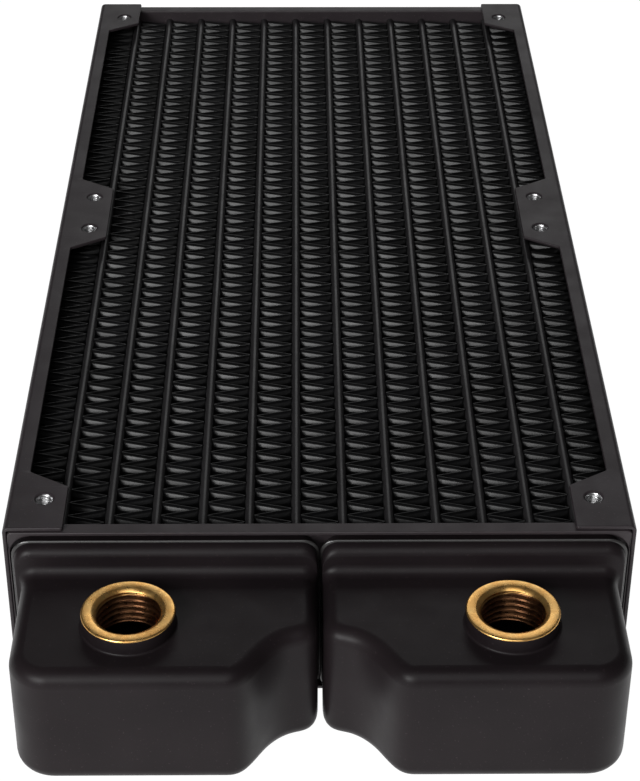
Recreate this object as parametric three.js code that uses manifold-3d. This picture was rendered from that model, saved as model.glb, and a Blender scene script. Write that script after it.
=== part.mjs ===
// Dual 120 mm liquid cooling radiator: a soldered core of flat tubes and corrugated
// fins between two headers, two port tanks in front, one return tank behind, and a
// folded sheet-metal frame down each side that takes the fans.
//
// Millimetres. +Z is up, +X is to the right and +Y runs from the ports to the return
// tank. The parts are drawn with y = 0 in the middle of the fan screw pattern and
// z = 0 on the lower fan face; the group at the end moves y = 0 to mid length.

import * as THREE from 'three';
import { mergeVertices } from 'three/addons/utils/BufferGeometryUtils.js';
import Module from 'manifold-3d';

const wasm = await Module();
wasm.setup();

// ---- Driving dimensions ----------------------------------------------------

const THICKNESS = 41;            // lower to upper fan face
const FRAME_WIDTH = 119.2;
const FRAME_HALF_LENGTH = 121.8;
const FRONT_REACH = 154.8;       // fan pattern centre to the front of the port tanks
const REAR_REACH = 137;          // fan pattern centre to the end of the return tank

const SHEET = 0.8;               // side frame
const BEND_RADIUS = 1.2;
const RAIL_INNER_X = 56;         // inner edge of the narrow rail between the tabs
const TAB_INNER_X = 48.2;
const TAB_CORNER_RADIUS = 0.9;
const CORNER_TAB_END_Y = 108.5;
const CORNER_TAB_TAPER_Y = 103.7;
const CENTRE_TAB_END_Y = 11.7;
const CENTRE_TAB_TAPER_Y = 16.6;

const SCREW_X = 52.5;            // 105 mm across
const SCREW_YS = [-112.5, -7.5, 7.5, 112.5];
const SCREW_HOLE_RADIUS = 1.25;  // M3 tapping size
const COLLAR_RADIUS = 2.4;       // drawn collar that carries the thread
const COLLAR_LENGTH = 2;

const TUBE_COUNT = 12;
const TUBE_PITCH = 8.92;
const TUBE_WIDTH = 1.8;
const TUBE_WALL = 0.3;
const CORE_TOP_DROP = 3.4;       // core edge below the fan face, both sides
const TUBE_HALF_LENGTH = 120.1;

const FIN_GAP = 0.15;            // solder gap between fin crest and tube
const FIN_SHEET = 0.3;
const FIN_PERIOD = 4.2;
const FIN_PERIODS = 56;

const CORE_PLATE = 1;
const CORE_PLATE_GAP = 0.3;      // to the header at each end

const HEADER_HALF_WIDTH = 58.7;
const HEADER_DROP = 1;           // header edge below the fan face
const HEADER_INNER_Y = 119;
const HEADER_RIM_Y = 122;
const HEADER_SHEET = 0.8;
const HEADER_SIDE_SHEET = 0.3;
const HEADER_CORNER_RADIUS = 0.8;
const HEADER_POCKET_RADIUS = 4.3;
const SLOT_CLEARANCE = 0.2;
const CUT_MARGIN = 1;            // how far a cut reaches past the sheet it goes through

const TANK_CLEARANCE = 0.7;      // tank mouth to the header pocket, for solder
const TANK_END_Y = 120.4;        // edge of the tank mouth inside the header
const TANK_WALL = 1.2;
const TANK_MOUTH_WALL = 0.9;
const TANK_DECK_DROP = 7.8;      // tank deck below the fan face
const TANK_HALF_WIDTH = 56.1;
const TANK_CORNER_RADIUS = 7.5;
const TANK_EDGE_RADIUS = 3;
const TANK_SPLIT = 0.45;         // each port tank starts this far from the middle
const MOUTH_INNER_RADIUS = 3;    // mouth corner beside the other port tank
const NECK_SHOULDER_Y = 123;     // the neck is straight from the mouth to here
const NECK_FOOT_Y = 127.6;       // and reaches the body here
const BODY_ROOT_Y = 121.3;       // back of the body, hidden in the neck

// The sweep from the gap between the port tanks to the front face of the right one:
// round the lobe beside the gap, through a waist and out to the face. LOBE and WAIST
// are points on it, each with the way and distance to its curve handles.
const SWEEP_START_Y = -138.2;
const LOBE = [4.2, -143.4];
const LOBE_HANDLE = [2.8, -0.75];
const WAIST = [10.9, -149.4];
const WAIST_HANDLE = [1.9, -3.15];
const SWEEP_END_X = 17.2;
const SWEEP_END_HANDLE = 3.2;    // at the start of the lobe and on the front face

const PORT_X = 34.9;
const PORT_Y = -140.4;
const PORT_RADIUS = 8.65;
const PORT_TOP_DROP = 4.5;       // brass ring below the fan face
const PORT_BORE_RADIUS = 5.9;
const PORT_MOUTH_RADIUS = 6.7;
const PORT_SPIGOT_RADIUS = 7.5;
const PORT_DEPTH = 8.6;
const PORT_CLEARANCE = 0.2;

// ---- Values worked out from them -------------------------------------------

const MID_Z = THICKNESS / 2;
const CORE_BOTTOM = CORE_TOP_DROP;
const CORE_TOP = THICKNESS - CORE_TOP_DROP;
const FIN_SPACE = TUBE_PITCH - TUBE_WIDTH;
const FIN_WIDTH = FIN_SPACE - 2 * FIN_GAP;
const CORE_PLATE_INNER_X = TUBE_COUNT / 2 * TUBE_PITCH + FIN_SPACE / 2;
const DECK_TOP = THICKNESS - TANK_DECK_DROP;
const MOUTH_DROP = HEADER_DROP + HEADER_SHEET + TANK_CLEARANCE;
const POCKET_HALF_WIDTH = HEADER_HALF_WIDTH - HEADER_SIDE_SHEET;
const MOUTH_HALF_WIDTH = POCKET_HALF_WIDTH - TANK_CLEARANCE;
const PORT_TOP = THICKNESS - PORT_TOP_DROP;

// ---- Materials -------------------------------------------------------------

const framePaint = { color: 0x2b2a2b, roughness: 0.5, metalness: 0.1 };
const corePaint = { color: 0x1b1b1d, roughness: 0.45, metalness: 0.1 };
const tankPaint = { color: 0x1c1c1e, roughness: 0.35, metalness: 0.1 };
const brass = { color: 0xc79a4b, roughness: 0.3, metalness: 1 };

// ---- Shapes and solids -----------------------------------------------------

// Closed outline through corner points, each [x, y] or [x, y, corner radius]. A round
// corner is one cubic curve that follows its arc.
function roundedOutline(corners) {
  const shape = new THREE.Shape();
  const goTo = (point, first) => (first ? shape.moveTo(...point) : shape.lineTo(...point));
  corners.forEach(([x, y, radius = 0], i) => {
    const corner = new THREE.Vector2(x, y);
    if (radius === 0) {
      goTo(corner, i === 0);
      return;
    }
    const [beforeX, beforeY] = corners.at(i - 1);
    const [afterX, afterY] = corners[(i + 1) % corners.length];
    const toBefore = new THREE.Vector2(beforeX, beforeY).sub(corner).normalize();
    const toAfter = new THREE.Vector2(afterX, afterY).sub(corner).normalize();
    const turn = Math.PI - Math.acos(toBefore.dot(toAfter));
    const setback = radius * Math.tan(turn / 2);
    const handle = setback - radius * 4 / 3 * Math.tan(turn / 4);
    const alongEdge = (way, distance) => corner.clone().addScaledVector(way, distance);
    goTo(alongEdge(toBefore, setback), i === 0);
    shape.bezierCurveTo(
      ...alongEdge(toBefore, handle),
      ...alongEdge(toAfter, handle),
      ...alongEdge(toAfter, setback));
  });
  return shape;
}

// Prism of a plan outline, from z = low to z = high.
function prismZ(shape, low, high, curveSegments = 3) {
  const options = { depth: high - low, bevelEnabled: false, curveSegments };
  return new THREE.ExtrudeGeometry(shape, options).translate(0, 0, low);
}

// Prism of a front-view outline (x, z), from y = low to y = high.
function prismY(shape, low, high, curveSegments = 3) {
  return prismZ(shape, -high, -low, curveSegments).rotateX(Math.PI / 2);
}

// Prism of a side-view outline (y, z), from x = low to x = high.
function prismX(shape, low, high, curveSegments = 3) {
  const turn = new THREE.Matrix4().makeBasis(
    new THREE.Vector3(0, 1, 0),
    new THREE.Vector3(0, 0, 1),
    new THREE.Vector3(1, 0, 0),
  );
  return prismZ(shape, low, high, curveSegments).applyMatrix4(turn);
}

function upright(radius, low, high, x, y, segments = 12) {
  const cylinder = new THREE.CylinderGeometry(radius, radius, high - low, segments);
  return cylinder.rotateX(Math.PI / 2).translate(x, y, (low + high) / 2);
}

function solid(geometry) {
  const bare = geometry.index ? geometry : geometry.clone();
  bare.deleteAttribute('normal');
  bare.deleteAttribute('uv');
  const merged = mergeVertices(bare, 1e-4);
  return new wasm.Manifold(new wasm.Mesh({
    numProp: 3,
    vertProperties: new Float32Array(merged.attributes.position.array),
    triVerts: new Uint32Array(merged.index.array),
  }));
}

function fromSolid(body) {
  const { vertProperties, triVerts } = body.getMesh();
  const geometry = new THREE.BufferGeometry();
  geometry.setAttribute('position', new THREE.BufferAttribute(vertProperties, 3));
  geometry.setIndex(new THREE.BufferAttribute(triVerts, 1));
  geometry.computeVertexNormals();
  return geometry;
}

function part(name, geometry, look) {
  const mesh = new THREE.Mesh(geometry, new THREE.MeshStandardMaterial(look));
  mesh.name = name;
  return mesh;
}

// ---- Side frames -----------------------------------------------------------

// Folded C section seen from the front; side is -1 for the left frame, 1 for the right.
function frameSection(side) {
  const outer = FRAME_WIDTH / 2;
  const inner = outer - SHEET;
  const lip = TAB_INNER_X - CUT_MARGIN;
  const insideBend = BEND_RADIUS - SHEET;
  return roundedOutline([
    [side * lip, 0],
    [side * outer, 0, BEND_RADIUS],
    [side * outer, THICKNESS, BEND_RADIUS],
    [side * lip, THICKNESS],
    [side * lip, THICKNESS - SHEET],
    [side * inner, THICKNESS - SHEET, insideBend],
    [side * inner, SHEET, insideBend],
    [side * lip, SHEET],
  ]);
}

// Plan outline of both flanges: a narrow rail with a tab at each corner and one in
// the middle.
function flangeOutline(side) {
  const rail = side * RAIL_INNER_X;
  const tab = side * TAB_INNER_X;
  const outer = side * (FRAME_WIDTH / 2 + CUT_MARGIN);
  const half = [
    [rail, CENTRE_TAB_TAPER_Y],
    [rail, CORNER_TAB_TAPER_Y],
    [tab, CORNER_TAB_END_Y, TAB_CORNER_RADIUS],
    [tab, FRAME_HALF_LENGTH, TAB_CORNER_RADIUS],
    [outer, FRAME_HALF_LENGTH],
  ];
  const otherHalf = half.map(([x, y, radius]) => [x, -y, radius]).reverse();
  const centreTab = [
    [tab, -CENTRE_TAB_END_Y, TAB_CORNER_RADIUS],
    [tab, CENTRE_TAB_END_Y, TAB_CORNER_RADIUS],
  ];
  return roundedOutline([...otherHalf, ...centreTab, ...half]);
}

function sideFrame(side) {
  const folded = solid(prismY(frameSection(side), -FRAME_HALF_LENGTH, FRAME_HALF_LENGTH));
  let frame = folded.intersect(solid(prismZ(flangeOutline(side), -CUT_MARGIN, THICKNESS + CUT_MARGIN)));
  for (const y of SCREW_YS) {
    const x = side * SCREW_X;
    const sink = SHEET / 2;      // how far a collar reaches into its flange
    const topCollar = upright(
      COLLAR_RADIUS, THICKNESS - SHEET - COLLAR_LENGTH, THICKNESS - sink, x, y);
    const bottomCollar = upright(COLLAR_RADIUS, sink, SHEET + COLLAR_LENGTH, x, y);
    frame = frame.add(solid(topCollar)).add(solid(bottomCollar));
    const hole = upright(SCREW_HOLE_RADIUS, -CUT_MARGIN, THICKNESS + CUT_MARGIN, x, y);
    frame = frame.subtract(solid(hole));
  }
  return fromSolid(frame);
}

// ---- Core ------------------------------------------------------------------

// Flat oval of a given width and height, centred on x and the radiator's mid height.
function flatOval(x, width, height, Kind = THREE.Shape) {
  const radius = width / 2;
  const rise = height / 2 - radius;
  const oval = new Kind();
  oval.absarc(x, MID_Z + rise, radius, 0, Math.PI, false);
  oval.absarc(x, MID_Z - rise, radius, Math.PI, 2 * Math.PI, false);
  oval.closePath();
  return oval;
}

function tubeX(index) {
  return (index - (TUBE_COUNT - 1) / 2) * TUBE_PITCH;
}

function tube(index) {
  const height = CORE_TOP - CORE_BOTTOM;
  const section = flatOval(tubeX(index), TUBE_WIDTH, height);
  const bore = flatOval(
    tubeX(index), TUBE_WIDTH - 2 * TUBE_WALL, height - 2 * TUBE_WALL, THREE.Path);
  section.holes.push(bore);
  return prismY(section, -TUBE_HALF_LENGTH, TUBE_HALF_LENGTH, 2);
}

// Corrugated strip: a zigzag in plan, as tall as the core.
function fin(x) {
  const leafRun = FIN_PERIOD / 2;
  const slope = Math.atan2(leafRun, FIN_WIDTH);
  const crest = FIN_SHEET / 2 / Math.sin(slope);
  const outer = FIN_WIDTH / 2;
  const inner = outer - 2 * crest;
  const startY = -FIN_PERIOD * FIN_PERIODS / 2;
  const leftEdge = [];
  const rightEdge = [];
  for (let i = 0; i <= 2 * FIN_PERIODS; i++) {
    const y = startY + i * leafRun;
    const onLeft = i % 2 === 0;
    leftEdge.push(new THREE.Vector2(onLeft ? -outer : inner, y));
    rightEdge.push(new THREE.Vector2(onLeft ? -inner : outer, y));
  }
  const zigzag = new THREE.Shape([...rightEdge, ...leftEdge.reverse()]);
  return prismZ(zigzag, CORE_BOTTOM, CORE_TOP).translate(x, 0, 0);
}

// Flat plate that the outermost fin is soldered to, hidden under the rail.
function corePlate(side) {
  const length = 2 * (HEADER_INNER_Y - CORE_PLATE_GAP);
  const plate = new THREE.BoxGeometry(CORE_PLATE, length, CORE_TOP - CORE_BOTTOM);
  return plate.translate(side * (CORE_PLATE_INNER_X + CORE_PLATE / 2), 0, MID_Z);
}

// ---- Headers ---------------------------------------------------------------

// Rectangle from x = left to right, as high as the radiator less a drop at each face.
function frontRectangle(left, right, drop, leftRadius, rightRadius) {
  return roundedOutline([
    [left, drop, leftRadius],
    [right, drop, rightRadius],
    [right, THICKNESS - drop, rightRadius],
    [left, THICKNESS - drop, leftRadius],
  ]);
}

// Shallow tray with slots for the tubes; end is -1 for the front header, 1 for the rear.
function header(end) {
  const span = (from, to) => [Math.min(end * from, end * to), Math.max(end * from, end * to)];
  const edge = frontRectangle(
    -HEADER_HALF_WIDTH, HEADER_HALF_WIDTH, HEADER_DROP,
    HEADER_CORNER_RADIUS, HEADER_CORNER_RADIUS);
  const pocket = frontRectangle(
    -POCKET_HALF_WIDTH, POCKET_HALF_WIDTH, HEADER_DROP + HEADER_SHEET,
    HEADER_POCKET_RADIUS, HEADER_POCKET_RADIUS);
  const floor = HEADER_INNER_Y + HEADER_SHEET;
  const block = solid(prismY(edge, ...span(HEADER_INNER_Y, HEADER_RIM_Y)));
  let tray = block.subtract(solid(prismY(pocket, ...span(floor, HEADER_RIM_Y + CUT_MARGIN))));
  for (let i = 0; i < TUBE_COUNT; i++) {
    const width = TUBE_WIDTH + 2 * SLOT_CLEARANCE;
    const height = CORE_TOP - CORE_BOTTOM + 2 * SLOT_CLEARANCE;
    const outline = flatOval(tubeX(i), width, height);
    const slot = prismY(
      outline, ...span(HEADER_INNER_Y - CUT_MARGIN, floor + CUT_MARGIN), 2);
    tray = tray.subtract(solid(slot));
  }
  return fromSolid(tray);
}

// ---- Tanks -----------------------------------------------------------------

// Plan outline of a port tank: square at the header, a rounded outer corner, and an
// S-shaped sweep from the front face back to the gap between the two tanks.
function portTankOutline(side) {
  const outline = new THREE.Shape();
  const outer = TANK_HALF_WIDTH;
  const front = -FRONT_REACH;
  const curveTo = (...points) => outline.bezierCurveTo(
    ...points.flatMap(([x, y]) => [side * x, y]));
  const offset = ([x, y], [dx, dy], way) => [x + way * dx, y + way * dy];
  outline.moveTo(side * TANK_SPLIT, -BODY_ROOT_Y);
  outline.lineTo(side * outer, -BODY_ROOT_Y);
  outline.lineTo(side * outer, front + TANK_CORNER_RADIUS);
  const handle = 0.45 * TANK_CORNER_RADIUS;
  curveTo([outer, front + handle], [outer - handle, front], [outer - TANK_CORNER_RADIUS, front]);
  outline.lineTo(side * SWEEP_END_X, front);
  curveTo([SWEEP_END_X - SWEEP_END_HANDLE, front], offset(WAIST, WAIST_HANDLE, 1), WAIST);
  curveTo(offset(WAIST, WAIST_HANDLE, -1), offset(LOBE, LOBE_HANDLE, 1), LOBE);
  curveTo(
    offset(LOBE, LOBE_HANDLE, -1),
    [TANK_SPLIT, SWEEP_START_Y - SWEEP_END_HANDLE],
    [TANK_SPLIT, SWEEP_START_Y]);
  outline.closePath();
  return outline;
}

function returnTankOutline() {
  return roundedOutline([
    [-TANK_HALF_WIDTH, BODY_ROOT_Y],
    [-TANK_HALF_WIDTH, REAR_REACH, TANK_CORNER_RADIUS],
    [TANK_HALF_WIDTH, REAR_REACH, TANK_CORNER_RADIUS],
    [TANK_HALF_WIDTH, BODY_ROOT_Y],
  ]);
}

// Body of a tank with its edges rounded over. inset moves every face inwards.
function tankBody(outline, inset) {
  const radius = TANK_EDGE_RADIUS - inset;
  const low = TANK_DECK_DROP + inset;
  const high = DECK_TOP - inset;
  const options = {
    depth: high - low - 2 * radius,
    bevelThickness: radius,
    bevelSize: radius,
    bevelOffset: -TANK_EDGE_RADIUS,
    bevelSegments: 3,
    curveSegments: 4,
  };
  return new THREE.ExtrudeGeometry(outline, options).translate(0, 0, low + radius);
}

// Outline of a neck from its open end to its foot, seen from the side or from above:
// straight to the shoulder, then an S on each edge. mouth and body each hold the low
// and the high edge; place turns (along, across) into the outline's own x and y.
function neckOutline(end, inset, open, mouth, body, place) {
  const shoulder = end * (NECK_SHOULDER_Y - inset);
  const foot = end * (NECK_FOOT_Y - inset);
  const sweep = 0.8 * (foot - shoulder);
  const curve = (...points) => points.flatMap(([along, across]) => place(along, across));
  const outline = new THREE.Shape();
  outline.moveTo(...place(open, mouth[0]));
  outline.lineTo(...place(shoulder, mouth[0]));
  outline.bezierCurveTo(
    ...curve([shoulder + sweep, mouth[0]], [foot - sweep, body[0]], [foot, body[0]]));
  outline.lineTo(...place(foot, body[1]));
  outline.bezierCurveTo(
    ...curve([foot - sweep, body[1]], [shoulder + sweep, mouth[1]], [shoulder, mouth[1]]));
  outline.lineTo(...place(open, mouth[1]));
  outline.closePath();
  return outline;
}

// Flared neck between a tank's body and its header. spread holds the neck's left and
// right edge at the mouth, and radii its corner radii there. thickness is 0 for the
// outside, or the wall thickness for the space inside.
function tankNeck(end, spread, radii, thickness) {
  const mouthWall = Math.min(thickness, TANK_MOUTH_WALL);
  const blend = 0.05;            // keeps the foot just under the body's surface
  const open = end * (TANK_END_Y - thickness);
  const inwards = (edge, distance) => edge.map((at, i) => at + (i === 0 ? distance : -distance));
  const mouthX = inwards(spread, mouthWall);
  const bodyX = spread.map((at) => Math.sign(at) * Math.min(Math.abs(at), TANK_HALF_WIDTH));
  const mouthZ = inwards([MOUTH_DROP, THICKNESS - MOUTH_DROP], mouthWall);
  const bodyZ = inwards([TANK_DECK_DROP, DECK_TOP], thickness + blend);
  const sideView = neckOutline(end, thickness, open, mouthZ, bodyZ, (y, z) => [y, z]);
  const topView = neckOutline(
    end, thickness, open, mouthX, inwards(bodyX, thickness + blend), (y, x) => [x, y]);
  const frontView = frontRectangle(...mouthX, MOUTH_DROP + mouthWall, ...radii);
  const farY = end * FRONT_REACH;
  return solid(prismX(sideView, ...mouthX, 5))
    .intersect(solid(prismZ(topView, 0, THICKNESS, 5)))
    .intersect(solid(prismY(frontView, Math.min(0, farY), Math.max(0, farY), 4)));
}

function hollowTank(end, outline, spread, radii) {
  const outside = solid(tankBody(outline, 0)).add(tankNeck(end, spread, radii, 0));
  const inside = solid(tankBody(outline, TANK_WALL))
    .add(tankNeck(end, spread, radii, TANK_WALL));
  return outside.subtract(inside);
}

function portTank(side) {
  const spread = [side * TANK_SPLIT, side * MOUTH_HALF_WIDTH];
  const radii = [MOUTH_INNER_RADIUS, HEADER_POCKET_RADIUS - TANK_CLEARANCE];
  if (side < 0) {
    spread.reverse();
    radii.reverse();
  }
  const tank = hollowTank(-1, portTankOutline(side), spread, radii);
  const hole = upright(
    PORT_SPIGOT_RADIUS + PORT_CLEARANCE, MID_Z, THICKNESS, side * PORT_X, PORT_Y, 24);
  return fromSolid(tank.subtract(solid(hole)));
}

function returnTank() {
  const radius = HEADER_POCKET_RADIUS - TANK_CLEARANCE;
  const spread = [-MOUTH_HALF_WIDTH, MOUTH_HALF_WIDTH];
  return fromSolid(hollowTank(1, returnTankOutline(), spread, [radius, radius]));
}

// ---- Ports -----------------------------------------------------------------

// Threaded boss: a ring that stands on the deck and a spigot through it.
function port(side) {
  const seat = DECK_TOP + PORT_CLEARANCE;
  const bottom = PORT_TOP - PORT_DEPTH;
  const mouthChamfer = PORT_MOUTH_RADIUS - PORT_BORE_RADIUS;
  const rimChamfer = 0.3;
  const profile = [
    [PORT_BORE_RADIUS, bottom],
    [PORT_SPIGOT_RADIUS, bottom],
    [PORT_SPIGOT_RADIUS, seat],
    [PORT_RADIUS, seat],
    [PORT_RADIUS, PORT_TOP - rimChamfer],
    [PORT_RADIUS - rimChamfer, PORT_TOP],
    [PORT_MOUTH_RADIUS, PORT_TOP],
    [PORT_BORE_RADIUS, PORT_TOP - mouthChamfer],
    [PORT_BORE_RADIUS, bottom],
  ];
  const lathe = new THREE.LatheGeometry(profile.map(([r, z]) => new THREE.Vector2(r, z)), 24);
  return lathe.rotateX(Math.PI / 2).translate(side * PORT_X, PORT_Y, 0);
}

// ---- Assembly --------------------------------------------------------------

const radiator = new THREE.Group();
const numbered = (name, index) => `${name}_${String(index + 1).padStart(2, '0')}`;

for (let i = 0; i < TUBE_COUNT; i++) {
  radiator.add(part(numbered('tube', i), tube(i), corePaint));
}
for (let i = 0; i <= TUBE_COUNT; i++) {
  radiator.add(part(numbered('fin', i), fin(tubeX(i) - TUBE_PITCH / 2), corePaint));
}
radiator.add(
  part('left_core_plate', corePlate(-1), corePaint),
  part('right_core_plate', corePlate(1), corePaint),
  part('front_header', header(-1), framePaint),
  part('rear_header', header(1), framePaint),
  part('inlet_tank', portTank(-1), tankPaint),
  part('outlet_tank', portTank(1), tankPaint),
  part('return_tank', returnTank(), tankPaint),
  part('inlet_port', port(-1), brass),
  part('outlet_port', port(1), brass),
  part('left_side_frame', sideFrame(-1), framePaint),
  part('right_side_frame', sideFrame(1), framePaint),
);
radiator.position.y = (FRONT_REACH - REAR_REACH) / 2;

const object = new THREE.Group();
object.add(radiator);

export default object;
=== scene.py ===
"""Looks of the liquid cooling radiator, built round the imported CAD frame.

Lengths are millimetres in the radiator's own layout: x = 0 between the port tanks,
y = 0 in the middle of the fan screw pattern and z = 0 on the lower fan face. make()
turns them into metres in the frame's coordinates.
"""

import math

import bmesh
import bpy
from mathutils import Matrix, Vector


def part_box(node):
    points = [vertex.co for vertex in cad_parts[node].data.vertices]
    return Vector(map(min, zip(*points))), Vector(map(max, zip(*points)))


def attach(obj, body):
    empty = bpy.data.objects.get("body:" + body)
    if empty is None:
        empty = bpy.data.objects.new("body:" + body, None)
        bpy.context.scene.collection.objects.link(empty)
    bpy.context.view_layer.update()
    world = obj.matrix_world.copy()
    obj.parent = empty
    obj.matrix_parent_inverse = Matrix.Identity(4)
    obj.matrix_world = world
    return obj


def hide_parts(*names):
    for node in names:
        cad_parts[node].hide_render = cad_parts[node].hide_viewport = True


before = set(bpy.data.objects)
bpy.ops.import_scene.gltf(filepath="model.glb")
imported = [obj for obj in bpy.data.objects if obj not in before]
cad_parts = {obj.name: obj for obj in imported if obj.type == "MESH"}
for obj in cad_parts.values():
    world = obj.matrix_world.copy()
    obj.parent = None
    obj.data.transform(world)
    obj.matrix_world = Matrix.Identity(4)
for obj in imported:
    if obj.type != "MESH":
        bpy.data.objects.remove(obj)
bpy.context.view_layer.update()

MM = 0.001


# ---- Sizes read from the frame ---------------------------------------------

def mm_box(node):
    """Lowest and highest corner of a CAD node, in millimetres in the layout."""
    low, high = (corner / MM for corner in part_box(node))
    middle = Vector((0, LAYOUT_Y, 0))
    return low - middle, high - middle


sheet_low, sheet_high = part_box("right_side_frame")
LAYOUT_Y = (sheet_low.y + sheet_high.y) / 2 / MM

frame_low, frame_high = mm_box("right_side_frame")
THICKNESS = frame_high.z - frame_low.z
MID_Z = THICKNESS / 2
FRAME_X = frame_high.x
FRAME_Y = frame_high.y
TAB_X = frame_low.x

header_low, header_high = mm_box("rear_header")
HEADER_X = header_high.x
HEADER_DROP = header_low.z
HEADER_INNER_Y = header_low.y
HEADER_RIM_Y = header_high.y

tank_low, tank_high = mm_box("outlet_tank")
MOUTH_X = tank_high.x
MOUTH_DROP = tank_low.z
SPLIT_X = tank_low.x
FRONT_Y = -tank_low.y
MOUTH_Y = -tank_high.y
REAR_Y = mm_box("return_tank")[1].y

port_low, port_high = mm_box("outlet_port")
PORT_X = (port_low.x + port_high.x) / 2
PORT_Y = (port_low.y + port_high.y) / 2
PORT_RADIUS = (port_high.y - port_low.y) / 2
PORT_TOP = port_high.z
PORT_BOTTOM = port_low.z

tube_low, tube_high = mm_box("tube_01")
TUBE_WIDTH = tube_high.x - tube_low.x
CORE_LOW = tube_low.z
CORE_HIGH = tube_high.z
TUBE_END_Y = tube_high.y

# ---- Other sizes -----------------------------------------------------------

SHEET = 0.8
BEND_RADIUS = 1.2
RAIL_X = 56
TAB_CORNER = 0.5
NOTCH_CORNER = 0.8               # where a tab meets the rail
CORNER_TAB_Y = (108.5, 103.7)    # end of the tab, end of its taper
CENTRE_TAB_Y = (11.7, 16.6)
EDGE_ROUND = 0.24                # painted edge of the sheet

SCREW_X = 52.5
SCREW_YS = (-112.5, -7.5, 7.5, 112.5)
M3_MINOR = 1.23
M3_MAJOR = 1.5
M3_PITCH = 0.5

# Section of the collar drawn round each screw hole, as (radius, depth below the outer
# face): the painted lip, the ends of the thread, and the end and outside of the collar.
COLLAR_LIP = ((2.15, 0), (2.0, 0.03), (1.84, 0.10), (1.72, 0.20), (1.64, 0.32), (1.58, 0.45))
COLLAR_THREAD = (0.55, 2.65)
COLLAR_OUTSIDE = ((1.55, 2.72), (1.7, 2.8), (2.25, 2.8), (2.4, 2.65), (2.4, 1.2), (2.5, 0.95),
                  (2.8, SHEET))

TUBE_WALL = 0.3
FIN_PERIOD = 4.2
FIN_PERIODS = 56
FIN_SOLDER_GAP = 0.15            # the CAD fins stop this far from the tubes
FIN_SHEET = 0.12
FIN_SHARPNESS = 0.985            # 1 gives pointed crests, 0 a sine wave
FIN_STEPS = (-90, -82, -72, -55, -25, 0, 25, 55, 72, 82)    # degrees, closer at the crests
FIN_RIM = 0.6                    # flat margin above the band pressed into each fin
FIN_BAND = 0.78                  # height of the sloping face of the band
FIN_BAND_SLOPE = 35              # degrees out of upright
FIN_RETURN = 2.4                 # height over which the band falls back
FIN_CREASE = 0.12                # half the height of each rounded crease

PLATE_ROUND = 0.2

HEADER_SHEET = 0.8
HEADER_CORNER = 0.8
HEADER_ROUND = 0.35              # along the edges next to the core
HEADER_LIP = 0.24                # along both edges of the rim
POCKET_SIDE = 0.3
POCKET_CORNER = 4.3
POCKET_ROUND = 0.08              # where the pocket's sides meet its floor
SLOT_ROOM = 0.05                 # between a tube and its slot

TANK_WALL = 1.1
DECK_DROP = 7.8
BODY_X = 56.1
BODY_CORNER = 7.5
BODY_START_Y = 129               # the straight sides start here, past the neck
TANK_EDGE = 3
MOUTH_INNER_RADIUS = 3
MOUTH_OUTER_RADIUS = 3.6
SOLDER_GAP = 0.35                # extra room round the mouth inside the header
BEAD_Y = 122.78                  # solder bead where the neck leaves the header
NECK_SHOULDER_Y = 123.1
NECK_FOOT_Y = 127.6
NECK_BEND = 2.25                 # both bends of the neck's S
NECK_SLOPE = 79                  # degrees, between the bends

# Profile of the solder bead: distance in front of BEAD_Y, depth under the neck's flat.
BEAD = ((-0.30, SOLDER_GAP), (-0.29, 0.02), (-0.24, -0.20), (-0.12, -0.34), (0.02, -0.38),
        (0.16, -0.30), (0.25, -0.12), (0.30, 0))

# The sweep from the gap between the port tanks to the front face of the right one,
# as (x, distance in front): round the lobe beside the gap, through a waist and out to
# the face. LOBE and WAIST lie on it, each with the way and distance to its handles.
SWEEP_START_Y = 138.2
LOBE = Vector((4.2, 143.4))
LOBE_HANDLE = Vector((2.8, 0.75))
WAIST = Vector((10.9, 149.4))
WAIST_HANDLE = Vector((1.9, 3.15))
SWEEP_END_X = 17.2
SWEEP_END_HANDLE = 3.2

G14_MINOR = 5.72
G14_MAJOR = 6.58
G14_PITCH = 1.337
DECK_HOLE_RADIUS = PORT_RADIUS - 0.95
SPIGOT_RADIUS = PORT_RADIUS - 1.15
PORT_FILLET = 0.45               # paint and solder round the foot of the port
TURNING_PITCH = 0.16             # lathe marks on the brass
BORE_SHADE_DEPTHS = (0.3, 1.4)        # where the painted shade down the bore starts and is full, below the top


# ---- Outlines --------------------------------------------------------------

def arc(centre, radius, start, end, steps):
    """Points on an arc, angles in degrees, both ends included."""
    angles = [math.radians(start + (end - start) * i / steps) for i in range(steps + 1)]
    return [Vector((centre[0] + radius * math.cos(a), centre[1] + radius * math.sin(a)))
            for a in angles]


def quarter_turn(steps):
    """Angles in radians from zero to a right angle."""
    return [math.radians(90 * i / steps) for i in range(steps + 1)]


def straight(start, end, steps):
    """Points evenly along a line, without its first point."""
    return [Vector(start).lerp(Vector(end), i / steps) for i in range(1, steps + 1)]


def bezier(start, first, second, end, steps):
    """Points on a cubic curve, without its first point."""
    points = []
    for i in range(1, steps + 1):
        t = i / steps
        s = 1 - t
        points.append(Vector(start) * s ** 3 + Vector(first) * 3 * s * s * t
                      + Vector(second) * 3 * s * t * t + Vector(end) * t ** 3)
    return points


def rounded(corners, steps=6):
    """Closed outline through corners, each (x, y, radius), as a list of points."""
    points = []
    count = len(corners)
    for i, (x, y, radius) in enumerate(corners):
        corner = Vector((x, y))
        before = (Vector(corners[i - 1][:2]) - corner).normalized()
        after = (Vector(corners[(i + 1) % count][:2]) - corner).normalized()
        half = before.angle(after) / 2
        centre = corner + (before + after).normalized() * radius / math.sin(half)
        setback = radius / math.tan(half)
        first = (corner + before * setback - centre).normalized()
        last = (corner + after * setback - centre).normalized()
        for k in range(steps + 1):
            points.append(centre + first.slerp(last, k / steps) * radius)
    return points


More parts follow.
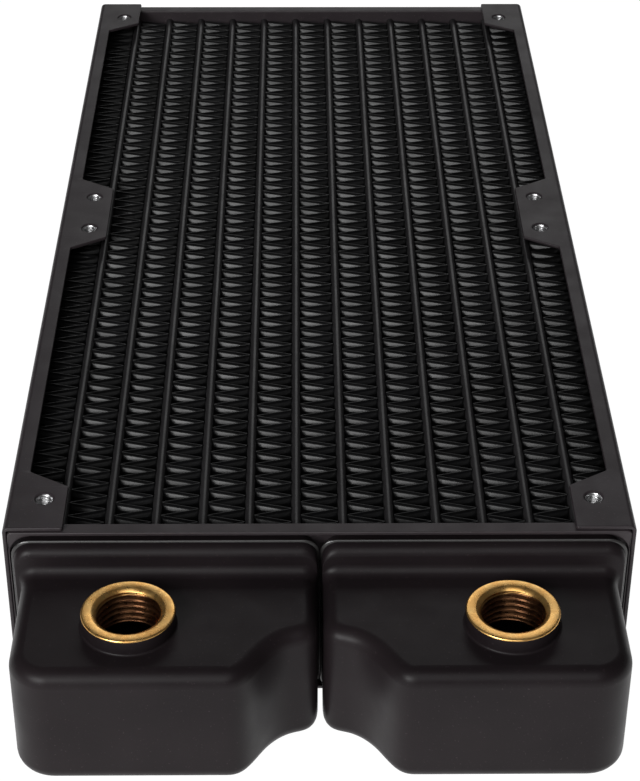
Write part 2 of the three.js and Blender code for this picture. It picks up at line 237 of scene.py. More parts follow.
def inset_loop(points, distance):
    """A closed anticlockwise outline moved inwards."""
    moved = []
    count = len(points)
    for i, point in enumerate(points):
        before = (point - points[i - 1]).normalized()
        after = (points[(i + 1) % count] - point).normalized()
        normal_before = Vector((-before.y, before.x))
        normal_after = Vector((-after.y, after.x))
        middle = (normal_before + normal_after).normalized()
        moved.append(point + middle * distance / max(0.5, middle.dot(normal_before)))
    return moved


def ring_xz(half_width, drop, radius, y, steps=8):
    """Rounded rectangle seen from the front, the same distance from both fan faces."""
    low, high = drop, THICKNESS - drop
    corners = [(-half_width, low, radius), (half_width, low, radius),
               (half_width, high, radius), (-half_width, high, radius)]
    return [Vector((p.x, y, p.y)) for p in rounded(corners, steps)]


def oval_xz(x, width, low, high, y, steps=8):
    """Flat oval seen from the front."""
    radius = width / 2
    points = arc((x, high - radius), radius, 0, 180, steps)
    points += arc((x, low + radius), radius, 180, 360, steps)
    return [Vector((p.x, y, p.y)) for p in points]


# ---- Mesh building ---------------------------------------------------------

class Builder:
    """Collects faces in millimetres and turns them into one closed mesh object."""

    def __init__(self):
        self.bm = bmesh.new()

    def loop(self, points):
        return [self.bm.verts.new(p) for p in points]

    def bridge(self, first, second, closed=True, material=0):
        """Quads between two rows of vertices with the same count."""
        count = len(first)
        for i in range(count if closed else count - 1):
            j = (i + 1) % count
            face = self.bm.faces.new((first[i], first[j], second[j], second[i]))
            face.material_index = material

    def bridge_all(self, rows, closed=True, material=0):
        for first, second in zip(rows, rows[1:]):
            self.bridge(first, second, closed, material)

    def fill(self, *loops):
        """Flat face inside the first closed loop, with the other loops as holes."""
        edges = []
        for loop in loops:
            for i, vert in enumerate(loop):
                other = loop[(i + 1) % len(loop)]
                edge = self.bm.edges.get((vert, other)) or self.bm.edges.new((vert, other))
                edges.append(edge)
        bmesh.ops.triangle_fill(self.bm, edges=edges, use_beauty=False)

    def ring(self, centre, radius_at, height, count):
        """Loop round an upright axis. radius_at gives the radius for an angle."""
        angles = [2 * math.pi * i / count for i in range(count)]
        return self.loop([Vector((centre.x + radius_at(a) * math.cos(a),
                                  centre.y + radius_at(a) * math.sin(a), height))
                          for a in angles])

    def turned(self, centre, profile, count):
        """Loops round an upright axis, one for each (radius, height) of a profile."""
        return [self.ring(centre, lambda a, r=r: r, height, count) for r, height in profile]

    def make(self, name, materials, sharp=50):
        """The finished object, smooth but for edges sharper than an angle in degrees."""
        bmesh.ops.recalc_face_normals(self.bm, faces=self.bm.faces)
        for vert in self.bm.verts:
            vert.co = (vert.co + Vector((0, LAYOUT_Y, 0))) * MM
        mesh = bpy.data.meshes.new(name)
        self.bm.to_mesh(mesh)
        self.bm.free()
        mesh.shade_smooth()
        mesh.set_sharp_from_angle(angle=math.radians(sharp))
        for material in materials:
            mesh.materials.append(material)
        piece = bpy.data.objects.new(name, mesh)
        bpy.context.scene.collection.objects.link(piece)
        even = piece.modifiers.new("even_shading", "WEIGHTED_NORMAL")
        even.keep_sharp = True
        return piece


def stand_for(piece, node):
    """The piece takes a CAD node's place."""
    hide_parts(node)
    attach(piece, "root")


# ---- Materials -------------------------------------------------------------

class Nodes:
    """Small helper that adds linked nodes to a material."""

    def __init__(self, name):
        self.material = bpy.data.materials.new(name)
        self.material.use_nodes = True
        self.tree = self.material.node_tree
        self.shader = self.tree.nodes["Principled BSDF"]
        self.place = self.add("ShaderNodeTexCoord").outputs["Object"]

    def add(self, kind, **settings):
        node = self.tree.nodes.new(kind)
        for name, value in settings.items():
            setattr(node, name, value)
        return node

    def link(self, source, target):
        self.tree.links.new(source, target)

    def noise(self, scale, detail):
        """Soft noise with about scale spots in a metre."""
        node = self.add("ShaderNodeTexNoise")
        node.inputs["Scale"].default_value = scale
        node.inputs["Detail"].default_value = detail
        self.link(self.place, node.inputs["Vector"])
        return node.outputs["Fac"]

    def ramp(self, source, low, high, to_low=0.0, to_high=1.0):
        """Values between low and high, stretched to another range and clamped."""
        node = self.add("ShaderNodeMapRange")
        node.inputs["From Min"].default_value = low
        node.inputs["From Max"].default_value = high
        node.inputs["To Min"].default_value = to_low
        node.inputs["To Max"].default_value = to_high
        self.link(source, node.inputs["Value"])
        return node.outputs["Result"]

    def blend(self, factor, first, second):
        """Mix of two colours, each a number triple or another node's output."""
        node = self.add("ShaderNodeMix", data_type="RGBA")
        self.link(factor, node.inputs["Factor"])
        for socket, value in ((node.inputs[6], first), (node.inputs[7], second)):
            if isinstance(value, bpy.types.NodeSocket):
                self.link(value, socket)
            else:
                socket.default_value = (*value, 1)
        return node.outputs[2]

    def bump(self, height, strength, depth, under=None):
        """Fine relief, depth in millimetres, laid over another relief if one is given."""
        node = self.add("ShaderNodeBump")
        node.inputs["Strength"].default_value = strength
        node.inputs["Distance"].default_value = depth * MM
        self.link(height, node.inputs["Height"])
        if under is not None:
            self.link(under, node.inputs["Normal"])
        return node.outputs["Normal"]


def paint(name, dark, light, roughness, gloss, peel, grain):
    """Baked black paint: slow colour drift, orange peel and a fine grain."""
    nodes = Nodes(name)
    shader = nodes.shader
    shader.inputs["Specular IOR Level"].default_value = gloss
    drift = nodes.ramp(nodes.noise(45, 3), 0.35, 0.65)
    specks = nodes.ramp(nodes.noise(2600, 1), 0.70, 0.78)
    colour = nodes.blend(drift, dark, light)
    dusty = tuple(value * 2.4 for value in light)
    nodes.link(nodes.blend(specks, colour, dusty), shader.inputs["Base Color"])
    low, high = roughness
    nodes.link(nodes.ramp(nodes.noise(160, 3), 0.3, 0.7, low, high),
               shader.inputs["Roughness"])
    waves = nodes.bump(nodes.noise(700, 2), peel, 0.05)
    fine = nodes.bump(nodes.noise(5200, 2), grain, 0.02, under=waves)
    nodes.link(fine, shader.inputs["Normal"])
    return nodes.material


def ring_distance(nodes, centre):
    """Distance in metres from an upright axis through a place in the layout."""
    offset = nodes.add("ShaderNodeVectorMath", operation="SUBTRACT")
    offset.inputs[1].default_value = (centre[0] * MM, (centre[1] + LAYOUT_Y) * MM, 0)
    nodes.link(nodes.place, offset.inputs[0])
    flat = nodes.add("ShaderNodeVectorMath", operation="MULTIPLY")
    flat.inputs[1].default_value = (1, 1, 0)
    nodes.link(offset.outputs[0], flat.inputs[0])
    length = nodes.add("ShaderNodeVectorMath", operation="LENGTH")
    nodes.link(flat.outputs[0], length.inputs[0])
    return length.outputs["Value"]


def turned_brass(name, centre):
    """Machined brass: golden, with turning marks round the port's axis, and painted shade
    that darkens it down in the thread."""
    nodes = Nodes(name)
    shader = nodes.shader
    shader.inputs["Metallic"].default_value = 1
    distance = ring_distance(nodes, centre)
    marks = nodes.add("ShaderNodeMath", operation="SINE")
    scaled = nodes.add("ShaderNodeMath", operation="MULTIPLY")
    scaled.inputs[1].default_value = 2 * math.pi / (TURNING_PITCH * MM)
    nodes.link(distance, scaled.inputs[0])
    nodes.link(scaled.outputs[0], marks.inputs[0])
    height = nodes.add("ShaderNodeSeparateXYZ")
    nodes.link(nodes.place, height.inputs[0])
    # Painted shade: the brass colour turns dark brown from the first depth to the second, down
    # the bore.
    shade_top, shade_full = (PORT_TOP - depth for depth in BORE_SHADE_DEPTHS)
    above = nodes.ramp(height.outputs["Z"], shade_full * MM, shade_top * MM)
    tint = nodes.ramp(nodes.noise(420, 4), 0.35, 0.68)
    plain_brass = nodes.blend(tint, (0.92, 0.50, 0.15), (1.0, 0.62, 0.22))
    shaded_brass = nodes.blend(tint, (0.08, 0.035, 0.018), (0.19, 0.09, 0.042))
    nodes.link(nodes.blend(above, shaded_brass, plain_brass), shader.inputs["Base Color"])
    nodes.link(nodes.ramp(nodes.noise(900, 3), 0.3, 0.7, 0.24, 0.36),
               shader.inputs["Roughness"])
    turned = nodes.bump(marks.outputs[0], 0.25, 0.01)
    nodes.link(nodes.bump(nodes.noise(1500, 3), 0.1, 0.02, under=turned),
               shader.inputs["Normal"])
    return nodes.material


def bare_steel(name):
    """Freshly cut thread in plain steel."""
    nodes = Nodes(name)
    shader = nodes.shader
    shader.inputs["Metallic"].default_value = 1
    stain = nodes.ramp(nodes.noise(1500, 3), 0.35, 0.7)
    nodes.link(nodes.blend(stain, (0.66, 0.66, 0.67), (0.34, 0.34, 0.34)),
               shader.inputs["Base Color"])
    nodes.link(nodes.ramp(nodes.noise(2500, 2), 0.3, 0.7, 0.24, 0.40),
               shader.inputs["Roughness"])
    nodes.link(nodes.bump(nodes.noise(4000, 2), 0.15, 0.02), shader.inputs["Normal"])
    return nodes.material


FRAME_PAINT = paint("frame_paint", (0.024, 0.019, 0.021), (0.029, 0.023, 0.026),
                    (0.42, 0.52), 0.34, 0.10, 0.25)
HEADER_PAINT = paint("header_paint", (0.026, 0.0205, 0.023), (0.032, 0.025, 0.028),
                     (0.42, 0.52), 0.40, 0.12, 0.22)
TANK_PAINT = paint("tank_paint", (0.0095, 0.0070, 0.0080), (0.0135, 0.0100, 0.0112),
                   (0.36, 0.45), 0.15, 0.14, 0.12)
BEAD_PAINT = paint("bead_paint", (0.016, 0.015, 0.015), (0.024, 0.022, 0.022),
                   (0.26, 0.34), 0.60, 0.20, 0.15)
TUBE_PAINT = paint("tube_paint", (0.014, 0.013, 0.014), (0.020, 0.019, 0.020),
                   (0.30, 0.40), 0.30, 0.12, 0.15)
FIN_PAINT = paint("fin_paint", (0.003, 0.003, 0.003), (0.005, 0.005, 0.0055),
                  (0.30, 0.40), 0.28, 0.30, 0.20)
THREAD_STEEL = bare_steel("thread_steel")


# ---- Core ------------------------------------------------------------------

def tube(node):
    """Hollow flat tube with round edges."""
    low, high = mm_box(node)
    x = (low.x + high.x) / 2
    build = Builder()
    inner_width = TUBE_WIDTH - 2 * TUBE_WALL
    sizes = ((TUBE_WIDTH, 0), (inner_width, TUBE_WALL))
    outside, inside = (
        [build.loop(oval_xz(x, width, CORE_LOW + wall, CORE_HIGH - wall, y))
         for y in (-TUBE_END_Y, TUBE_END_Y)]
        for width, wall in sizes)
    build.bridge_all(outside)
    build.bridge_all(inside)
    build.bridge(outside[0], inside[0])
    build.bridge(outside[1], inside[1])
    stand_for(build.make(f"{node}_painted", [TUBE_PAINT]), node)


def fin_wave(half_width, turn):
    """Sideways place of the corrugation: a zigzag with rounded crests."""
    return half_width * math.asin(FIN_SHARPNESS * math.sin(turn)) / math.asin(FIN_SHARPNESS)


def fin_heights():
    """Section of a fin from its lower edge to its upper one, as (height, how far the
    sheet stands forward). A band is pressed into it near each edge."""
    reach = FIN_BAND * math.tan(math.radians(FIN_BAND_SLOPE))
    crease = FIN_CREASE * reach / FIN_BAND
    crest = FIN_RIM + FIN_BAND
    band = [(0, 0), (FIN_RIM - FIN_CREASE, 0), (FIN_RIM + FIN_CREASE, crease),
            (crest - FIN_CREASE, reach - crease), (crest + FIN_CREASE, reach - crease),
            (crest + FIN_RETURN, 0)]
    lower = [(CORE_LOW + depth, forward) for depth, forward in band]
    upper = [(CORE_HIGH - depth, forward) for depth, forward in reversed(band)]
    return lower + upper


def fin_strip(node):
    """Corrugated strip of thin sheet between two tubes."""
    low, high = mm_box(node)
    x = (low.x + high.x) / 2
    half_width = (high.x - low.x) / 2 + FIN_SOLDER_GAP - FIN_SHEET / 2
    turns = [math.radians(180 * half + step)
             for half in range(2 * FIN_PERIODS) for step in FIN_STEPS]
    start_y = -FIN_PERIOD * FIN_PERIODS / 2
    middle = [Vector((x + fin_wave(half_width, turn),
                      start_y + FIN_PERIOD * (turn + math.pi / 2) / (2 * math.pi)))
              for turn in turns]
    build = Builder()
    sides = []
    for way in (-0.5, 0.5):
        edge = []
        for i, point in enumerate(middle):
            before = middle[max(i - 1, 0)]
            after = middle[min(i + 1, len(middle) - 1)]
            along = (after - before).normalized()
            edge.append(point + Vector((-along.y, along.x)) * way * FIN_SHEET)
        sides.append(edge)
    heights = fin_heights()
    rows = []
    for side, levels in ((0, heights), (1, heights[::-1])):
        for z, forward in levels:
            rows.append(build.loop([Vector((p.x, p.y - forward, z)) for p in sides[side]]))
    build.bridge_all(rows + rows[:1], closed=False)
    for end in (0, -1):
        build.bm.faces.new([row[end] for row in rows])
    stand_for(build.make(f"{node}_sheet", [FIN_PAINT], sharp=60), node)


def core_plate(node):
    """The CAD node itself, painted, with softened edges."""
    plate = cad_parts[node]
    plate.data.materials.clear()
    plate.data.materials.append(FIN_PAINT)
    soften = plate.modifiers.new("soft_edges", "BEVEL")
    soften.width = PLATE_ROUND * MM
    soften.segments = 2


# ---- Headers ---------------------------------------------------------------

def header_section():
    """Section of the tray from its outer edge next to the core, over the rim and down to
    the floor of the pocket. Each place is (half width, drop below the fan face, corner
    radius, distance from the fan centre)."""
    pocket_x = HEADER_X - POCKET_SIDE
    pocket_drop = HEADER_DROP + HEADER_SHEET
    pocket_floor = HEADER_INNER_Y + HEADER_SHEET
    turns = quarter_turn(4)

    def outside(inset, y):
        return HEADER_X - inset, HEADER_DROP + inset, HEADER_CORNER, y

    def pocket(inset, y):
        return pocket_x - inset, pocket_drop + inset, POCKET_CORNER, y

    section = [outside(HEADER_ROUND * (1 - math.sin(a)),
                       HEADER_INNER_Y + HEADER_ROUND * (1 - math.cos(a))) for a in turns]
    section += [outside(HEADER_LIP * (1 - math.cos(a)),
                        HEADER_RIM_Y - HEADER_LIP * (1 - math.sin(a))) for a in turns]
    section += [pocket(-HEADER_LIP * (1 - math.sin(a)),
                       HEADER_RIM_Y - HEADER_LIP * (1 - math.cos(a))) for a in turns]
    section += [pocket(POCKET_ROUND * (1 - math.cos(a)),
                       pocket_floor + POCKET_ROUND * (1 - math.sin(a))) for a in turns]
    return section


def header_slot(build, number, y):
    """Loop round the slot for a tube."""
    low, high = mm_box(f"tube_{number:02d}")
    return build.loop(oval_xz((low.x + high.x) / 2, TUBE_WIDTH + 2 * SLOT_ROOM,
                              CORE_LOW - SLOT_ROOM, CORE_HIGH + SLOT_ROOM, y, steps=6))


def header(node, end):
    """Pressed tray with slots for the tubes; end is -1 in front and 1 at the rear."""
    build = Builder()
    loops = [build.loop(ring_xz(half_width, drop, corner, end * y))
             for half_width, drop, corner, y in header_section()]
    build.bridge_all(loops)
    slots = [[header_slot(build, number, end * y) for number in range(1, 13)]
             for y in (HEADER_INNER_Y, HEADER_INNER_Y + HEADER_SHEET)]
    build.fill(loops[0], *slots[0])
    build.fill(loops[-1], *slots[1])
    for first, second in zip(*slots):
        build.bridge(first, second)
    stand_for(build.make(f"{node}_pressing", [HEADER_PAINT]), node)


# ---- Side frames -----------------------------------------------------------

NEUTRAL_BEND = BEND_RADIUS - SHEET / 2
WEB_HALF = MID_Z - BEND_RADIUS
BEND_LENGTH = math.pi / 2 * NEUTRAL_BEND
FLANGE_START = WEB_HALF + BEND_LENGTH


def flat_place(x):
    """Distance from the middle of the web, on the flat sheet, to a place x on a flange."""
    return FLANGE_START + FRAME_X - BEND_RADIUS - x


def fold(side, s, y, depth):
    """Where a point of the flat sheet goes when the sheet is folded into its C. depth is
    measured inwards from the outer face."""
    up = math.copysign(1, s)
    s = abs(s)
    if s <= WEB_HALF:
        return Vector((side * (FRAME_X - depth), y, MID_Z + up * s))
    if s < FLANGE_START:
        angle = (s - WEB_HALF) / NEUTRAL_BEND
        radius = BEND_RADIUS - depth
        return Vector((side * (FRAME_X - BEND_RADIUS + radius * math.cos(angle)), y,
                       MID_Z + up * (WEB_HALF + radius * math.sin(angle))))
    return Vector((side * (FRAME_X - BEND_RADIUS - (s - FLANGE_START)), y,
                   MID_Z + up * (MID_Z - depth)))


def sheet_outline():
    """The flat sheet before folding, anticlockwise as (s, y) points."""
    tab = flat_place(TAB_X)
    rail = flat_place(RAIL_X)
    tab_side = [
        (tab, -FRAME_Y, TAB_CORNER), (tab, -CORNER_TAB_Y[0], TAB_CORNER),
        (rail, -CORNER_TAB_Y[1], NOTCH_CORNER), (rail, -CENTRE_TAB_Y[1], NOTCH_CORNER),
        (tab, -CENTRE_TAB_Y[0], TAB_CORNER), (tab, CENTRE_TAB_Y[0], TAB_CORNER),
        (rail, CENTRE_TAB_Y[1], NOTCH_CORNER), (rail, CORNER_TAB_Y[1], NOTCH_CORNER),
        (tab, CORNER_TAB_Y[0], TAB_CORNER), (tab, FRAME_Y, TAB_CORNER)]
    other = [(-s, y, radius) for s, y, radius in reversed(tab_side)]
    return rounded(tab_side + other)


def edge_profile():
    """(inset, depth) pairs round the cut edge of the sheet, outer face to inner face."""
    quarter = [(EDGE_ROUND * (1 - math.sin(a)), EDGE_ROUND * (1 - math.cos(a)))
               for a in quarter_turn(3)]
    return quarter + [(inset, SHEET - depth) for inset, depth in reversed(quarter)]


def thread_radius(minor, major, pitch, depth, angle, fade):
    """Radius of a threaded wall, with the thread fading out near its ends."""
    phase = (depth / pitch - angle / (2 * math.pi)) % 1
    ridge = abs(2 * phase - 1)
    shaped = min(1, max(0, (ridge - 0.1) / 0.75))
    return minor + (major - minor) * (1 - (1 - shaped) * fade)


def collar(build, s, y):
    """Drawn and tapped collar round a screw hole in the flat sheet. Returns its first and
    last loop, which lie in the sheet's two faces."""
    around = 32
    turns = 32
    centre = Vector((s, y))
    start, end = COLLAR_THREAD
    rows = build.turned(centre, COLLAR_LIP, around)
    first_steel = len(rows) - 2
    for i in range(turns + 1):
        depth = start + (end - start) * i / turns
        fade = min(1, i / 4, (turns - i) / 4)
        rows.append(build.ring(centre, lambda a, d=depth, f=fade: thread_radius(
            M3_MINOR, M3_MAJOR, M3_PITCH, d, a, f), depth, around))
    last_steel = len(rows)
    rows += build.turned(centre, COLLAR_OUTSIDE, around)
    build.bridge_all(rows[:first_steel + 1])
    build.bridge_all(rows[first_steel:last_steel + 1], material=1)
    build.bridge_all(rows[last_steel:])
    return rows[0], rows[-1]


def side_frame(node, side):
    """Sheet with rounded edges and tapped collars, cut into strips along its two bends
    and folded into a C."""
    build = Builder()
    outline = sheet_outline()
    rims = [build.loop([Vector((p.x, p.y, depth)) for p in inset_loop(outline, inset)])
            for inset, depth in edge_profile()]
    build.bridge_all(rims)
    outer_holes, inner_holes = [], []
    for way in (-1, 1):
        for y in SCREW_YS:
            first, last = collar(build, way * flat_place(SCREW_X), y)
            outer_holes.append(first)
            inner_holes.append(last)
    build.fill(rims[0], *outer_holes)
    build.fill(rims[-1], *inner_holes)
    steps = 6
    for way in (-1, 1):
        for i in range(steps + 1):
            cut = way * (WEB_HALF + BEND_LENGTH * i / steps)
            geometry = build.bm.verts[:] + build.bm.edges[:] + build.bm.faces[:]
            bmesh.ops.bisect_plane(build.bm, geom=geometry, dist=1e-5,
                                   plane_co=(cut, 0, 0), plane_no=(1, 0, 0))
    for vert in build.bm.verts:
        vert.co = fold(side, *vert.co)
    piece = build.make(f"{node}_folded", [FRAME_PAINT, THREAD_STEEL])
    stand_for(piece, node)


# ---- Tanks -----------------------------------------------------------------

def neck_stations():
    """Places along the neck from the mouth to the foot. Each is (distance from the fan
    centre, drop below the fan face, share of the way from the mouth's width to the
    body's, depth under the neck's flat, slope in radians)."""
    stations = [(MOUTH_Y, MOUTH_DROP + SOLDER_GAP, 0, SOLDER_GAP, 0)]
    stations += [(BEAD_Y + ahead, MOUTH_DROP + under, 0, under, 0) for ahead, under in BEAD]
    steps = 8
    slopes = [math.radians(NECK_SLOPE) * i / steps for i in range(steps + 1)]
    whole_drop = DECK_DROP - MOUTH_DROP
    for a in slopes:
        fall = NECK_BEND * (1 - math.cos(a))
        stations.append((NECK_SHOULDER_Y + NECK_BEND * math.sin(a), MOUTH_DROP + fall,
                         fall / whole_drop, 0, a))
    for a in reversed(slopes):
        lift = NECK_BEND * (1 - math.cos(a))
        stations.append((NECK_FOOT_Y - NECK_BEND * math.sin(a), DECK_DROP - lift,
                         1 - lift / whole_drop, 0, a))
    return stations


def port_tank_path(steps=12):
    """Plan of a port tank's body from its inner wall round the front to its outer wall,
    as (x, distance in front)."""
    face_start = Vector((SWEEP_END_X, FRONT_Y))
    gap_end = Vector((SPLIT_X, SWEEP_START_Y))
    path = [Vector((SPLIT_X, BODY_START_Y))]
    path += straight(path[0], gap_end, 2)
    path += bezier(gap_end, gap_end + Vector((0, SWEEP_END_HANDLE)), LOBE - LOBE_HANDLE,
                   LOBE, steps)
    path += bezier(LOBE, LOBE + LOBE_HANDLE, WAIST - WAIST_HANDLE, WAIST, steps)
    path += bezier(WAIST, WAIST + WAIST_HANDLE, face_start - Vector((SWEEP_END_HANDLE, 0)),
                   face_start, steps)
    corner = arc((BODY_X - BODY_CORNER, FRONT_Y - BODY_CORNER), BODY_CORNER, 90, 0, 14)
    path += straight(face_start, corner[0], 4)
    path += corner[1:]
    path += straight(corner[-1], (BODY_X, BODY_START_Y), 3)
    return path


def return_tank_path():
    """Plan of the return tank's body, from its left side round the rear to its right."""
    centre_y = REAR_Y - BODY_CORNER
    left = arc((BODY_CORNER - BODY_X, centre_y), BODY_CORNER, 180, 90, 14)
    right = arc((BODY_X - BODY_CORNER, centre_y), BODY_CORNER, 90, 0, 14)
    return left + straight(left[-1], right[0], 5) + right[1:]


def tank_column(place, inwards, drop, radius, inset):
    """Rounded edge between deck and wall at one place on a tank's plan, from the deck to
    the wall, as (place, drop) pairs."""
    rows = []
    for a in quarter_turn(7):
        back = inset + (radius - inset) * (1 - math.sin(a))
        down = inset + (radius - inset) * (1 - math.cos(a))
        rows.append((place + inwards * back, drop + down))
    return rows


def neck_columns(mouth_x, body_x, mouth_radius, inwards, inset):
    """Columns along one side of the neck, from the mouth to the body."""
    columns = []
    for y, drop, share, under, slope in neck_stations():
        x = mouth_x + (body_x - mouth_x) * share + inwards * under
        radius = mouth_radius + (TANK_EDGE - mouth_radius) * share
        place = Vector((x, y - inset * math.sin(slope)))
        lift = inset * (1 - math.cos(slope))
        columns.append(tank_column(place, Vector((inwards, 0)), drop - lift, radius, inset))
    return columns


def body_columns(path, inset):
    """Columns round the body of a tank."""
    columns = []
    for i, point in enumerate(path):
        before = path[max(i - 1, 0)]
        after = path[min(i + 1, len(path) - 1)]
        along = (after - before).normalized()
        inwards = Vector((along.y, -along.x))
        columns.append(tank_column(point, inwards, DECK_DROP, TANK_EDGE, inset))
    return columns


def on_bead(i, count):
    """Material number for a strip of faces: 1 on the solder bead, 0 elsewhere."""
    from_end = min(i, count - 2 - i)
    return 1 if 1 < from_end < len(BEAD) else 0


def tank_skin(build, columns, neck, end, mirror):
    """Walls and neck of a tank's outer or inner skin, still open at the mouth, the deck
    and the base. Returns the columns of its upper and of its lower half."""
    upper, lower = [], []
    for rows in columns:
        spots = [(mirror * place.x, end * place.y, drop) for place, drop in rows]
        upper.append(build.loop([Vector((x, y, THICKNESS - d)) for x, y, d in spots]))
        lower.append(build.loop([Vector((x, y, d)) for x, y, d in spots]))
    count = len(columns)
    for half in (upper, lower):
        for i in range(count - 1):
            build.bridge(half[i], half[i + 1], closed=False, material=on_bead(i, count))
        for i in range(neck - 1):
            j = count - 1 - i
            flat = build.bm.faces.new((half[i][0], half[i + 1][0], half[j - 1][0], half[j][0]))
            flat.material_index = on_bead(i, count)
    for i in range(count - 1):
        wall = build.bm.faces.new((upper[i][-1], upper[i + 1][-1],
                                   lower[i + 1][-1], lower[i][-1]))
        wall.material_index = on_bead(i, count)
    return upper, lower


def tank(node, end, mirror, edges, path, port_place=None):
    """Hollow tank with a flared neck. end is -1 in front and 1 at the rear; mirror is -1
    for the left tank. edges says where the neck's two sides run, as (x at the mouth, x at
    the body, edge radius at the mouth, way to the inside)."""
    build = Builder()
    neck = len(neck_stations())
    mouths = []
    holes = []
    for inset in (0, TANK_WALL):
        first, last = (neck_columns(*edge, inset) for edge in edges)
        columns = first + body_columns(path, inset) + last[::-1]
        upper, lower = tank_skin(build, columns, neck, end, mirror)
        deck, base = ([rows[0] for rows in half[neck - 1:len(half) - neck + 1]]
                      for half in (upper, lower))
        if port_place is not None:
            circle = arc(port_place, DECK_HOLE_RADIUS, 0, 360, 48)[:-1]
            height = THICKNESS - DECK_DROP - inset
            holes.append(build.loop([Vector((p.x, p.y, height)) for p in circle]))
        build.fill(deck, *holes[-1:])
        build.fill(base)
        mouths.append(upper[0] + lower[0][::-1] + lower[-1] + upper[-1][::-1])
    build.bridge(*mouths)
    if holes:
        build.bridge(*holes)
    stand_for(build.make(f"{node}_shell", [TANK_PAINT, BEAD_PAINT]), node)


def port_tank(node, side):
    """Tank in front with a port, straight along the gap; side is -1 left and 1 right."""
    edges = ((SPLIT_X, SPLIT_X, MOUTH_INNER_RADIUS, 1),
             (MOUTH_X, BODY_X, MOUTH_OUTER_RADIUS, -1))
    tank(node, -1, side, edges, port_tank_path(), (side * PORT_X, PORT_Y))


def return_tank(node):
    """Tank across the whole rear header."""
    edges = ((-MOUTH_X, -BODY_X, MOUTH_OUTER_RADIUS, 1),
             (MOUTH_X, BODY_X, MOUTH_OUTER_RADIUS, -1))
    tank(node, 1, 1, edges, return_tank_path())


# ---- Ports -----------------------------------------------------------------

def port(node, side):
    """Brass boss with a G1/4 thread, painted outside up to its bare top face."""
    around = 96
    turns = 72
    centre = Vector((side * PORT_X, PORT_Y))
    deck = THICKNESS - DECK_DROP
    foot = deck + 0.02
    outside = [(SPIGOT_RADIUS, PORT_BOTTOM + 0.2), (SPIGOT_RADIUS, deck - 0.1),
               (PORT_RADIUS, deck - 0.05)]
    outside += [(PORT_RADIUS + PORT_FILLET * (1 - math.sin(a)),
                 foot + PORT_FILLET * (1 - math.cos(a))) for a in quarter_turn(5)]
    outside += [(PORT_RADIUS, PORT_TOP - 0.45), (PORT_RADIUS - 0.02, PORT_TOP - 0.3)]
    top = [(PORT_RADIUS - 0.08, PORT_TOP - 0.15), (PORT_RADIUS - 0.2, PORT_TOP - 0.04),
           (PORT_RADIUS - 0.38, PORT_TOP), (PORT_RADIUS - 0.9, PORT_TOP),
           (G14_MAJOR + 0.25, PORT_TOP), (G14_MAJOR + 0.15, PORT_TOP - 0.03),
           (G14_MAJOR - 0.45, PORT_TOP - 0.35), (G14_MAJOR - 0.65, PORT_TOP - 0.6)]
    bottom = [(G14_MAJOR + 0.1, PORT_BOTTOM), (SPIGOT_RADIUS - 0.2, PORT_BOTTOM)]
    build = Builder()
    rows = build.turned(centre, outside, around)
    last_painted = len(rows) - 1
    rows += build.turned(centre, top, around)
    start, end = 0.75, PORT_TOP - PORT_BOTTOM - 0.4
    for i in range(turns + 1):
        depth = start + (end - start) * i / turns
        fade = min(1, (i + 1) / 5, (turns - i) / 8)
        rows.append(build.ring(centre, lambda a, d=depth, f=fade: thread_radius(
            G14_MINOR, G14_MAJOR, G14_PITCH, d, a, f), PORT_TOP - depth, around))
    rows += build.turned(centre, bottom, around)
    build.bridge_all(rows[:last_painted + 1])
    build.bridge_all(rows[last_painted:] + rows[:1], material=1)
    brass = turned_brass(f"{node}_brass", centre)
    piece = build.make(f"{node}_boss", [TANK_PAINT, brass], sharp=70)
    stand_for(piece, node)


# ---- The radiator ----------------------------------------------------------

for number in range(1, 13):
    tube(f"tube_{number:02d}")
for number in range(1, 14):
    fin_strip(f"fin_{number:02d}")
core_plate("left_core_plate")
core_plate("right_core_plate")
header("front_header", -1)
header("rear_header", 1)
side_frame("left_side_frame", -1)
side_frame("right_side_frame", 1)
port_tank("inlet_tank", -1)
port_tank("outlet_tank", 1)
return_tank("return_tank")
port("inlet_port", -1)
port("outlet_port", 1)


# ---- Floor, light and camera -----------------------------------------------

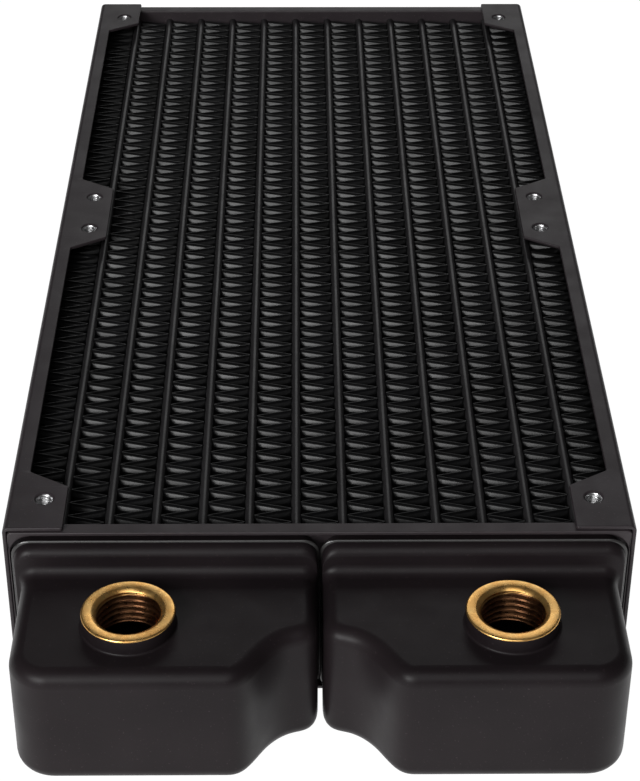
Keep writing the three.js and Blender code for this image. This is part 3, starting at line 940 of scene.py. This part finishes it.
def floor():
    """Plain white floor, twelve metres square."""
    mesh = bpy.data.meshes.new("studio_floor")
    reach = 6
    mesh.from_pydata([(-reach, -reach, 0), (reach, -reach, 0), (reach, reach, 0),
                      (-reach, reach, 0)], [], [(0, 1, 2, 3)])
    nodes = Nodes("studio_white")
    nodes.shader.inputs["Base Color"].default_value = (0.1, 0.1, 0.1, 1)
    nodes.shader.inputs["Roughness"].default_value = 0.9
    nodes.shader.inputs["Specular IOR Level"].default_value = 0.1
    nodes.shader.inputs["Emission Color"].default_value = (1, 1, 1, 1)
    nodes.shader.inputs["Emission Strength"].default_value = 1.0
    mesh.materials.append(nodes.material)
    plane = bpy.data.objects.new("studio_floor", mesh)
    bpy.context.scene.collection.objects.link(plane)


def softbox(name, place, target, size, power):
    """Rectangular area light; places in metres, power in watts."""
    data = bpy.data.lights.new(name, "AREA")
    data.shape = "RECTANGLE"
    data.size, data.size_y = size
    data.energy = power
    lamp = bpy.data.objects.new(name, data)
    lamp.location = place
    aim = Vector(target) - Vector(place)
    lamp.rotation_euler = aim.to_track_quat("-Z", "Y").to_euler()
    bpy.context.scene.collection.objects.link(lamp)


def camera():
    """Looks along the radiator from above the ports. The place is in millimetres in the
    layout and the angles are in degrees."""
    place = Vector((-4.0, -432.7, 280.1))
    down, turn, roll = (math.radians(a) for a in (33.81, 0.72, 0.26))
    lens = 96.32
    forward = Vector((math.sin(turn) * math.cos(down), math.cos(turn) * math.cos(down),
                      -math.sin(down)))
    right = forward.cross(Vector((0, 0, 1))).normalized()
    up = right.cross(forward)
    tilted_right = right * math.cos(roll) + up * math.sin(roll)
    tilted_up = up * math.cos(roll) - right * math.sin(roll)
    data = bpy.data.cameras.new("camera")
    data.lens = lens
    data.clip_start, data.clip_end = 0.01, 20
    shot = bpy.data.objects.new("camera", data)
    basis = Matrix((tilted_right, tilted_up, -forward)).transposed().to_4x4()
    shot.matrix_world = Matrix.Translation((place + Vector((0, LAYOUT_Y, 0))) * MM) @ basis
    bpy.context.scene.collection.objects.link(shot)
    bpy.context.scene.camera = shot


floor()
softbox("key_light", (-0.45, -0.75, 0.42), (0, -0.03, 0), (0.42, 0.32), 6)
softbox("front_light", (0, -1.2, 1.2), (0, 0, 0), (0.9, 1.2), 6.2)
softbox("back_light", (0.1, 1.2, 0.78), (0, 0, 0), (0.75, 0.65), 2.0)
world = bpy.data.worlds.new("studio")
world.use_nodes = True
world.node_tree.nodes["Background"].inputs["Color"].default_value = (1, 1, 1, 1)
world.node_tree.nodes["Background"].inputs["Strength"].default_value = 0.06
bpy.context.scene.world = world
bpy.context.scene.view_settings.view_transform = "Standard"
camera()
